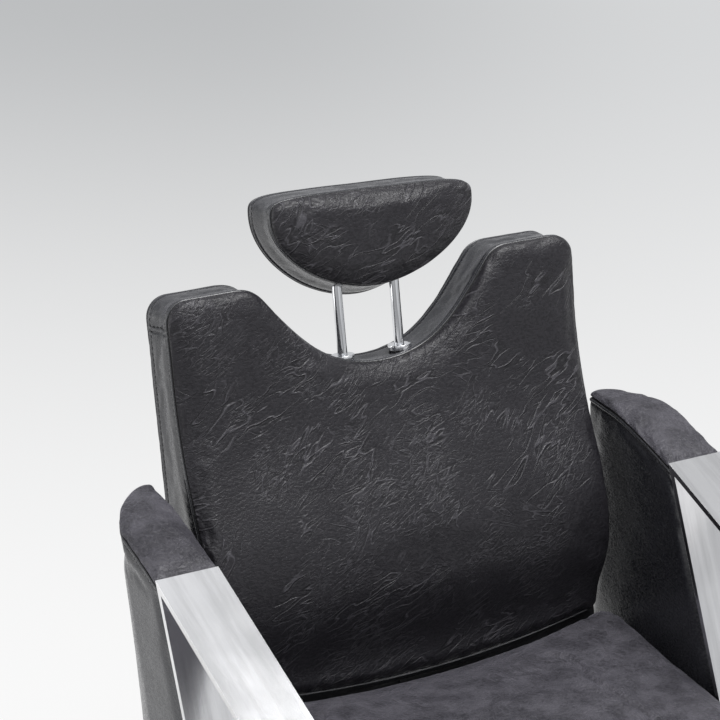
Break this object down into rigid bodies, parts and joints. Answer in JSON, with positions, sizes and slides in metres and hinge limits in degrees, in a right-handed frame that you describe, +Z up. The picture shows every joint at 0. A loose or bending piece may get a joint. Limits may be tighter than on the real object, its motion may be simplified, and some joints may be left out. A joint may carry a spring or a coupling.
{
  "type": "hairdressing chair",
  "caption": "Reclining hairdressing chair with a sliding headrest, padded arms in polished flat-bar loops and a hydraulic swivel column.",
  "frame": {"origin": "on the floor under the middle of the column", "axes": "+Z up, the sitter faces -Y, +X is at the sitter's left"},
  "size_m": [0.7, 0.8434, 1.0055],
  "materials": {
    "leather": "black grained leatherette with crackled creases",
    "back_vinyl": "smooth black vinyl",
    "polished_steel": "polished, faintly brushed stainless steel",
    "chrome": "bright chrome plate",
    "black_steel": "black powder coat",
    "dark_iron": "bare dark iron",
    "zinc_steel": "zinc-plated steel",
    "bronze": "plain bronze",
    "rubber": "matt black rubber",
    "black_plastic": "satin black plastic",
    "plywood": "birch plywood"
  },
  "bodies": {
    "base": {"floor_pad": "rubber", "base_weight": "dark_iron", "base_cover": "polished_steel", "pump_cylinder": "dark_iron", "cylinder_bolts": "zinc_steel", "guide_bush": "bronze", "gland_ring": "chrome", "column_shroud": "polished_steel", "pump_block": "dark_iron", "pedal_bracket": "dark_iron", "pedal_pin": "zinc_steel"},
    "ram": {"ram_rod": "chrome", "ram_piston": "dark_iron", "thrust_washer": "bronze"},
    "seat": {"swivel_hub": "dark_iron", "seat_plate": "black_steel", "plate_bolts": "zinc_steel", "side_rails": "black_steel", "cross_rails": "black_steel", "seat_board": "plywood", "seat_cushion": "leather", "arm_brackets": "black_steel", "arm_frame_left": "polished_steel", "arm_frame_right": "polished_steel", "arm_pad_left": "leather", "arm_pad_right": "leather", "arm_cores": "plywood", "arm_bolts": "zinc_steel", "loop_screws": "zinc_steel", "hinge_ears": "black_steel", "hinge_pins": "zinc_steel", "gas_bracket": "black_steel", "gas_cylinder": "black_steel", "lever_brackets": "black_steel", "footrest_arm": "polished_steel", "footrest_bar": "polished_steel", "footrest_sleeve": "rubber"},
    "back": {"back_cushion": "leather", "back_board": "plywood", "back_panel": "back_vinyl", "back_brackets": "black_steel", "bracket_screws": "zinc_steel", "hinge_bushes": "bronze", "cross_tube": "black_steel", "recline_lug": "black_steel", "lug_pin": "zinc_steel", "guide_sleeves": "black_plastic", "rod_collars": "chrome"},
    "gas_rod": {"gas_rod": "chrome", "gas_fork": "dark_iron"},
    "headrest": {"head_pad": "leather", "head_crossbar": "dark_iron", "head_rods": "chrome"},
    "pedal": {"pedal_arm": "polished_steel", "pedal_pad": "rubber"},
    "plunger": {"pump_plunger": "zinc_steel"},
    "lever": {"lever_shaft": "zinc_steel", "release_handle": "polished_steel", "release_grip": "black_plastic"},
    "release_pin": {"release_pin": "zinc_steel"}
  },
  "joints": [
    {"name": "lift", "type": "slide", "parent": "base", "child": "ram", "axis": [0, 0, 1], "range_m": [0, 0.15]},
    {"name": "swivel", "type": "hinge", "parent": "ram", "child": "seat", "pos_m": [0, 0, 0.284], "axis": [0, 0, 1], "continuous": true},
    {"name": "recline", "type": "hinge", "parent": "seat", "child": "back", "pos_m": [0, 0.245, 0.44], "axis": [-1, 0, 0], "range_deg": [0, 35]},
    {"name": "gas_stroke", "type": "slide", "parent": "seat", "child": "gas_rod", "axis": [0, -1, 0], "range_m": [0, 0.06944]},
    {"name": "head_slide", "type": "slide", "parent": "back", "child": "headrest", "axis": [0, 0.2368, 0.9715], "range_m": [-0.04, 0.075]},
    {"name": "pedal_press", "type": "hinge", "parent": "base", "child": "pedal", "pos_m": [0, 0.07, 0.096], "axis": [-1, 0, 0], "range_deg": [0, 18], "stiffness_Nm_per_rad": 8, "springref_deg": -34.38},
    {"name": "plunger_stroke", "type": "slide", "parent": "base", "child": "plunger", "axis": [0, 0, 1], "range_m": [0, 0.0113]},
    {"name": "lever_pull", "type": "hinge", "parent": "seat", "child": "lever", "pos_m": [0.15, 0.05989, 0.2997], "axis": [-1, 0, 0], "range_deg": [0, 15], "stiffness_Nm_per_rad": 2.5, "springref_deg": -22.92},
    {"name": "release_stroke", "type": "slide", "parent": "seat", "child": "release_pin", "axis": [0, 1, 0], "range_m": [0, 0.009]}
  ],
  "couplings": [
    {"joint": "gas_stroke", "follows": "recline", "m_per_rad": 0.11318},
    {"joint": "plunger_stroke", "follows": "pedal_press", "m_per_rad": 0.0356},
    {"joint": "release_stroke", "follows": "lever_pull", "m_per_rad": 0.034}
  ]
}
